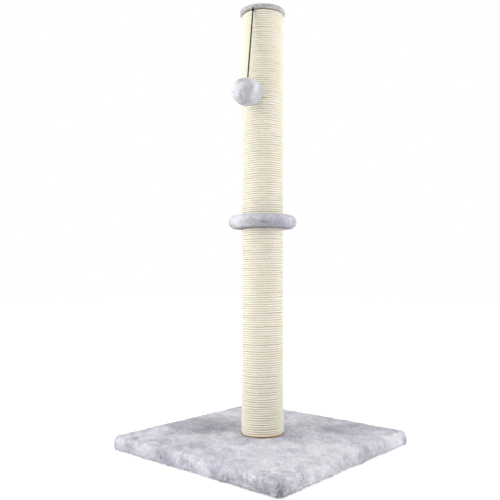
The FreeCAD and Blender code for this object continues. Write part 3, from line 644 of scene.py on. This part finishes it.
# Faces with their middle inside these carry no pile.
BARE_RIM, BARE_LOW, BARE_HIGH = 59.8 * MM, 420.5 * MM, 435.5 * MM
low, high = RING_LOW + RING_PILE, RING_HIGH - RING_PILE
edge = (high - low) / 2
rim_middle = RING_RADIUS - RING_PILE - edge
seat = POST_RADIUS + 0.4 * MM
outline = (
    [(STUD_HOLE, PRESSED_LOW), (seat, PRESSED_LOW)]
    + run_between((seat, low), (rim_middle, low), RING_STEP)
    + quarter_round((rim_middle, (low + high) / 2), edge, -90, 9)
    + quarter_round((rim_middle, (low + high) / 2), edge, 0, 9)
    + run_between((rim_middle, high), (seat, high), RING_STEP)
    + [(seat, high), (seat, PRESSED_HIGH), (STUD_HOLE, PRESSED_HIGH)]
    + [(STUD_HOLE, BOARD_HIGH), (BOARD_RIM, BOARD_HIGH)]
    + [(BOARD_RIM, BOARD_LOW), (STUD_HOLE, BOARD_LOW)]
)
ring_plush = turned_pile(
    "ring_cover", outline,
    lambda at: at.xy.length > seat + 0.3 * MM and not (
        at.xy.length < BARE_RIM and BARE_LOW < at.z < BARE_HIGH
    ),
    RING_SIDES, RING_TUFT, RING_LEAN, RING_LOW, plush,
)
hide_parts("ring_plush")
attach(ring_plush, "post")

# The same fibre, stretched thin over the disc, in a duller grey that is painted shade.
cap_plush = pile_finish(
    "cap_plush", "#b0afb0", "#d6d5d5", patch=60 * MM, streak=14 * MM, curl=6 * MM,
)
CAP_RADIUS, CAP_LOW, CAP_HIGH = 44.5 * MM, 830 * MM, 839 * MM
CAP_PILE, CAP_STEP, CAP_SIDES = 1.6 * MM, 1.5 * MM, 176
CAP_TUFT, CAP_LEAN = 1.5 * MM, 0.7 * MM
CAP_HEM, CAP_HEM_LOW = 27.5 * MM, 830.1 * MM
# The room that the disc lies in, and where pile grows: above LOW, past RIM or over TOP.
DISC_RIM, DISC_LOW, DISC_HIGH = 39.6 * MM, 830.9 * MM, 835.1 * MM
TUFTS_LOW, TUFTS_RIM, TUFTS_TOP = 831.2 * MM, 40.2 * MM, 836 * MM
CAP_EDGE, CAP_LOW_EDGE = 1.8 * MM, 3.6 * MM
low, high = CAP_LOW + 0.4 * MM, CAP_HIGH - CAP_PILE
rim = CAP_RADIUS - CAP_PILE
outline = (
    [(CAP_HEM, CAP_HEM_LOW)]
    + run_between((CAP_HEM, low), (rim - CAP_LOW_EDGE, low), 2 * CAP_STEP)
    + quarter_round((rim - CAP_LOW_EDGE, low + CAP_LOW_EDGE), CAP_LOW_EDGE, -90, 4)
    + run_between((rim, low + CAP_LOW_EDGE), (rim, high - CAP_EDGE), CAP_STEP)
    + quarter_round((rim - CAP_EDGE, high - CAP_EDGE), CAP_EDGE, 0, 3)
    + run_between((rim - CAP_EDGE, high), (0.0, high), CAP_STEP)
    + [(0.0, high), (0.0, DISC_HIGH), (DISC_RIM, DISC_HIGH)]
    + [(DISC_RIM, DISC_LOW), (CAP_HEM, DISC_LOW)]
)
cap_cover = turned_pile(
    "cap_cover", outline,
    lambda at: at.z > TUFTS_LOW and (at.xy.length > TUFTS_RIM or at.z > TUFTS_TOP),
    CAP_SIDES, CAP_TUFT, CAP_LEAN, low, cap_plush,
)
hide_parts("cap_plush")
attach(cap_cover, "post")

# ---- The elastic cord and its knot ---------------------------------------------------------
# A round black elastic: rubber strands in a braided polyester sleeve, drawn 0.3 mm thicker than
# its solid so that it shows as dark as in the photograph. Its end is stapled on the cap's disc.
# It comes down past the rim to a knot, and on to the ball.

CORD = 2.7 * MM
KNOT = Vector((0.011026, -0.041148, 0.8269))
ALONG = Vector((0.041543, -0.15504, -0.987034))
OUT_FROM_POST = Vector((KNOT.x, KNOT.y, 0)).normalized()

# Black braided polyester: sixteen yarns cross on the slant in a plait about 1.5 mm long.
YARNS_EACH_WAY, PLAIT = 8, 1.5 * MM
braid, shader = new_material("braided_elastic")
along = node(braid, "UVMap", {}, uv_map="cord").outputs["UV"]
parts = node(braid, "SeparateXYZ", {"Vector": along})
waves = []
for hand_of_yarn in (1, -1):
    run = node(braid, "Math", {0: parts.outputs["X"], 1: 1 / PLAIT}, operation="MULTIPLY")
    turn = node(braid, "Math", {
        0: parts.outputs["Y"], 1: YARNS_EACH_WAY * hand_of_yarn, 2: run.outputs[0],
    }, operation="MULTIPLY_ADD").outputs[0]
    turn = node(braid, "Math", {0: turn, 1: 2 * math.pi}, operation="MULTIPLY").outputs[0]
    waves.append(node(braid, "Math", {0: turn}, operation="SINE").outputs[0])
plait = node(braid, "Math", {0: waves[0], 1: waves[1]}, operation="MAXIMUM").outputs[0]
plait = node(braid, "MapRange", {
    "Value": plait, "From Min": -0.6, "From Max": 1.0,
}).outputs["Result"]
tone = node(braid, "Mix", {0: plait, 6: linear("#050506"), 7: linear("#161618")}, data_type="RGBA")
relief = node(braid, "Bump", {"Height": plait, "Strength": 0.6, "Distance": 0.2 * MM})
feed(braid, shader, {
    "Base Color": tone.outputs[2], "Roughness": 0.7, "Specular IOR Level": 0.25,
    "Normal": relief.outputs["Normal"],
})


def tube(name, line, radius, sides=12):
    """A closed tube that follows a line of points, with its own length and round as its UV map."""
    bm = bmesh.new()
    bmesh.ops.create_circle(bm, radius=radius, segments=sides)
    facing = (line[1] - line[0]).normalized()
    turn = facing.to_track_quat("Z", "Y").to_matrix()
    for vert in bm.verts:
        vert.co = line[0] + turn @ vert.co
    ring = bm.verts[:]
    rings, edges, run = [(ring, 0.0)], bm.edges[:], 0.0
    for before, here, after in zip(line, line[1:], line[2:] + line[-1:]):
        made = bmesh.ops.extrude_edge_only(bm, edges=edges)["geom"]
        ring = [v for v in made if isinstance(v, bmesh.types.BMVert)]
        edges = [e for e in made if isinstance(e, bmesh.types.BMEdge)]
        heading = ((here - before).normalized() + (after - here).normalized()).normalized()
        bmesh.ops.translate(bm, verts=ring, vec=here - before)
        bmesh.ops.rotate(
            bm, verts=ring, cent=here, matrix=facing.rotation_difference(heading).to_matrix()
        )
        facing, run = heading, run + (here - before).length
        rings.append((ring, run))
    uv = bm.loops.layers.uv.new("cord")
    placed = {}
    for ring, run in rings:
        for i, vert in enumerate(ring):
            placed[vert] = (run, i / sides)
    bmesh.ops.holes_fill(bm, edges=[e for e in bm.edges if e.is_boundary], sides=sides)
    for face in bm.faces:
        rounds = [placed[loop.vert][1] for loop in face.loops]
        for loop, part in zip(face.loops, rounds):
            if len(rounds) == 4 and max(rounds) - min(rounds) > 0.5 and part < 0.5:
                part += 1
            loop[uv].uv = (placed[loop.vert][0], part)
    bmesh.ops.recalc_face_normals(bm, faces=bm.faces)
    return made_into(bm, name, braid)


def smooth_line(name, route, resolution):
    """The points of the smooth spline that a route of points controls."""
    curve = bpy.data.curves.new(name, "CURVE")
    curve.dimensions = "3D"
    curve.resolution_u = resolution
    spline = curve.splines.new("NURBS")
    spline.points.add(len(route) - 1)
    for point, at in zip(spline.points, route):
        point.co = (*at, 1.0)
    spline.order_u = 3
    spline.use_endpoint_u = True
    holder = bpy.data.objects.new(name, curve)
    line = [v.co.copy() for v in bpy.data.meshes.new_from_object(holder).vertices]
    bpy.data.objects.remove(holder)
    return line


CORD_STATIONS = (2.8, 71.3, 139.8)  # millimetres along it from the knot's middle
CORD_STEPS = 12
cord_route = [KNOT + ALONG * d * MM for d in CORD_STATIONS]
cord_line = smooth_line("cord_route", cord_route, CORD_STEPS)
toy_cord = tube("elastic_cord", cord_line, CORD / 2)
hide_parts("toy_cord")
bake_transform(toy_cord, "toy_cord", "toy_ball", start=cord_route[0], end=cord_route[-1])

# The end that lies on the disc: up past the rim, over its edge and in under the plush.
REACH, TAIL_FOOT, TAIL_TOP, TAIL, BEND = 42.6 * MM, 829.7 * MM, 836.2 * MM, 20 * MM, 3 * MM
REACH_IN = 41.2 * MM
tail_line = [
    OUT_FROM_POST * REACH + Vector((0, 0, TAIL_FOOT)),
    OUT_FROM_POST * REACH_IN + Vector((0, 0, TAIL_TOP - BEND)),
]
for i in range(1, 7):
    turn = math.radians(15 * i)
    inward, up = BEND * (1 - math.cos(turn)), BEND * math.sin(turn)
    tail_line.append(OUT_FROM_POST * (REACH_IN - inward) + Vector((0, 0, TAIL_TOP - BEND + up)))
tail_line.append(tail_line[-1] - OUT_FROM_POST * TAIL)
toy_anchor = tube("cord_tail", tail_line, CORD / 2)
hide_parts("toy_anchor")
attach(toy_anchor, "post")

# An overhand knot pulled tight: three lobes of the cord over and under each other.
KNOT_POINTS, KNOT_SPREAD, KNOT_LIFT, KNOT_CORD, KNOT_SIDES = 36, 0.6 * MM, 1.1 * MM, 1.1 * MM, 8
knot_route = []
across = OUT_FROM_POST.cross(ALONG).normalized()
forward = ALONG.cross(across)
for i in range(KNOT_POINTS):
    turn = 2 * math.pi * i / KNOT_POINTS
    spread = KNOT_SPREAD * (2 + math.cos(3 * turn))
    flat = Vector((math.cos(2 * turn), math.sin(2 * turn))) * spread
    lift = KNOT_LIFT * math.sin(3 * turn)
    knot_route.append(KNOT + across * flat.x + ALONG * flat.y + forward * lift)
toy_knot = tube("cord_knot", knot_route + knot_route[:1], KNOT_CORD, KNOT_SIDES)
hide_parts("toy_knot")
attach(toy_knot, "toy_knot")

# ---- The plush ball ------------------------------------------------------------------------
# Four gores of plush sewn into a ball and stuffed with polyester filling, a little wider than
# tall. The cord goes in at the top, where the seams meet. The pile stands out all round.

BALL_RADIUS, BALL_HALF_HEIGHT, BALL_DROP = 29 * MM, 25 * MM, 165.1 * MM
BALL_PILE, BALL_LEAN, BALL_JITTER, BALL_CLUMP = 3.0 * MM, 2.0 * MM, 0.4 * MM, 4.5 * MM
ACROSS_MORE, UP_MORE = 0.6 * MM, 0.2 * MM  # how much less deep than the pile the roots lie
SEAM_DEPTH, SEAM_SHARPNESS, DIMPLE_DEPTH, DIMPLE_WIDTH = 0.03, 8, 0.07, 0.05
LUMP_DEPTH, LUMPS = 0.02, 2.2
ball_middle = KNOT + ALONG * BALL_DROP

# The same fibre, curlier because the pile is short and the ball is handled. Its paler grey is painted light,
# and a patch on its top is painted shade.
ball_plush = pile_finish(
    "ball_plush", "#d9d8e0", "#edecf2", patch=30 * MM, streak=8 * MM, curl=5 * MM, roots=0.9,
    painted_light_and_shade_patches=[(ball_middle + Vector((0.004, -0.012, 0.025)), 0.018, 0.76)],
)


def finished_mesh(piece):
    """The mesh that a piece's modifiers make of it."""
    view = bpy.context.evaluated_depsgraph_get()
    return bpy.data.meshes.new_from_object(piece.evaluated_get(view))


# The sewn skin, a little small, is stuffed until it is tight: the filling presses it out. So
# small and stiff a skin moves about half a millimetre under a pressure of this size.
across_roots = BALL_RADIUS - BALL_PILE + ACROSS_MORE
up_roots = BALL_HALF_HEIGHT - BALL_PILE + UP_MORE
STUFFING_STEPS, STUFFING_PRESSURE, SKIN_GIVES = 20, 3.0e4, 1.6 * MM
SKIN_SHARE, SKIN_MESH, SKIN_MASS = 0.985, 4 * MM, 0.002
bm = bmesh.new()
bmesh.ops.create_icosphere(bm, subdivisions=4, radius=1.0)
for vert in bm.verts:
    vert.co = vert.co * Vector((across_roots, across_roots, up_roots)) * SKIN_SHARE
skin = made_into(bm, "ball_skin", ball_plush)
even = skin.modifiers.new("even", "REMESH")
even.mode, even.voxel_size = "VOXEL", SKIN_MESH
skin.data = finished_mesh(skin)
skin.modifiers.clear()
empty = [vert.co.copy() for vert in skin.data.vertices]
filling = skin.modifiers.new("filling", "CLOTH")
filling.settings.mass = SKIN_MASS
filling.settings.use_pressure = True
filling.settings.uniform_pressure_force = STUFFING_PRESSURE
filling.settings.effector_weights.gravity = 0.0
for step in range(1, STUFFING_STEPS + 1):
    bpy.context.scene.frame_set(step)
skin.data = finished_mesh(skin)
skin.modifiers.clear()
bpy.context.scene.frame_set(1)
for vert, before in zip(skin.data.vertices, empty):
    moved = vert.co - before
    vert.co = before + moved * min(1.0, SKIN_GIVES / max(moved.length, 1e-9))
finer = skin.modifiers.new("finer", "SUBSURF")
finer.levels = finer.render_levels = 1
bm = bmesh.new()
bm.from_mesh(finished_mesh(skin))
bpy.data.objects.remove(skin)

# Four seams draw it in from the top to the bottom, and the cord's knot draws in the top.
bm.verts.layers.float.new("pile")
upright = (-ALONG).to_track_quat("Z", "Y").to_matrix()
for vert in bm.verts:
    way = vert.co.normalized()
    seam = math.cos(2 * math.atan2(way.y, way.x)) ** SEAM_SHARPNESS
    seam *= 1 - way.z ** SEAM_SHARPNESS
    dimple = math.exp(-((1 - way.z) / DIMPLE_WIDTH) ** 2) * DIMPLE_DEPTH
    size = 1 - SEAM_DEPTH * seam - dimple + LUMP_DEPTH * noise.noise(way * LUMPS)
    vert.co = ball_middle + upright @ (vert.co * size)
bm.normal_update()
raise_pile(bm, bm.faces[:], BALL_PILE, BALL_LEAN, BALL_JITTER, BALL_CLUMP, hand)
bmesh.ops.recalc_face_normals(bm, faces=bm.faces)
toy_ball = made_into(bm, "plush_ball", ball_plush)
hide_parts("ball_cover", "ball_filling")
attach(toy_ball, "toy_ball")

# ---- The studio ----------------------------------------------------------------------------
# A white floor that runs on into white, a large soft lamp on each side of the camera and light
# from all round, so that the colours come out about as they are written.


def seen_as_white(owner):
    """1 for a ray from the camera, off a gloss or through glass, and 0 for one that lights."""
    seen = node(owner, "LightPath", {})
    shown = seen.outputs["Is Camera Ray"]
    for kind in ("Is Glossy Ray", "Is Transmission Ray"):
        both = node(owner, "Math", {0: shown, 1: seen.outputs[kind]}, operation="MAXIMUM")
        shown = both.outputs[0]
    return shown


# White card, matt: it glows for the camera alone, and less so near the base.
studio, shader = new_material("studio_floor")
shown = seen_as_white(studio)
place = node(studio, "TexCoord", {}).outputs["Object"]
away = node(studio, "VectorMath", {0: place}, operation="LENGTH").outputs["Value"]
clear = node(studio, "MapRange", {
    "Value": away, "From Min": 0.36, "From Max": 0.9, "To Min": 0.3, "To Max": 1.0,
}, interpolation_type="SMOOTHSTEP").outputs["Result"]
glow = node(studio, "Math", {0: shown, 1: clear}, operation="MULTIPLY").outputs[0]
feed(studio, shader, {
    "Base Color": linear("#f2f2f2"), "Roughness": 1.0, "Specular IOR Level": 0.0,
    "Emission Color": linear("#ffffff"), "Emission Strength": glow,
})
bm = bmesh.new()
bmesh.ops.create_grid(bm, x_segments=8, y_segments=8, size=6.0)
floor = made_into(bm, "studio_floor", studio)

world = bpy.data.worlds.new("studio_white")
world.use_nodes = True
background = world.node_tree.nodes["Background"]
strength = node(world, "MapRange", {
    "Value": seen_as_white(world), "To Min": 0.42, "To Max": 1.0,
})
feed(world, background, {"Color": linear("#ffffff"), "Strength": strength.outputs["Result"]})
bpy.context.scene.world = world

LOOK_AT = Vector((0, 0, 0.38))
for name, bearing, height, away, size, power in (
    ("lamp_left", -31, 0.90, 1.9, 1.1, 42),
    ("lamp_right", 113, 0.90, 1.9, 1.1, 35),
    ("lamp_above", 41, 2.4, 0.3, 1.4, 20),
):
    lamp = bpy.data.lights.new(name, "AREA")
    lamp.size, lamp.energy = size, power
    holder = bpy.data.objects.new(name, lamp)
    turn = math.radians(bearing)
    holder.location = (away * math.sin(turn), -away * math.cos(turn), height)
    holder.rotation_euler = (LOOK_AT - holder.location).to_track_quat("-Z", "Y").to_euler()
    bpy.context.scene.collection.objects.link(holder)

camera = bpy.data.cameras.new("camera")
camera.sensor_width, camera.lens = 36.0, 45.43
eye = bpy.data.objects.new("camera", camera)
CAMERA_BEARING, PITCH_UP, ROLL = math.radians(41.0), math.radians(92.03), math.radians(-0.03)
EYE_AWAY, EYE_ASIDE, EYE_HEIGHT = 1.211, 0.024, 0.332
facing = Vector((math.sin(CAMERA_BEARING), -math.cos(CAMERA_BEARING), 0))
beside = Vector((math.cos(CAMERA_BEARING), math.sin(CAMERA_BEARING), 0))
eye.location = facing * EYE_AWAY - beside * EYE_ASIDE + Vector((0, 0, EYE_HEIGHT))
eye.rotation_euler = (PITCH_UP, ROLL, CAMERA_BEARING)
bpy.context.scene.collection.objects.link(eye)
bpy.context.scene.camera = eye
bpy.context.scene.view_settings.view_transform = "Standard"
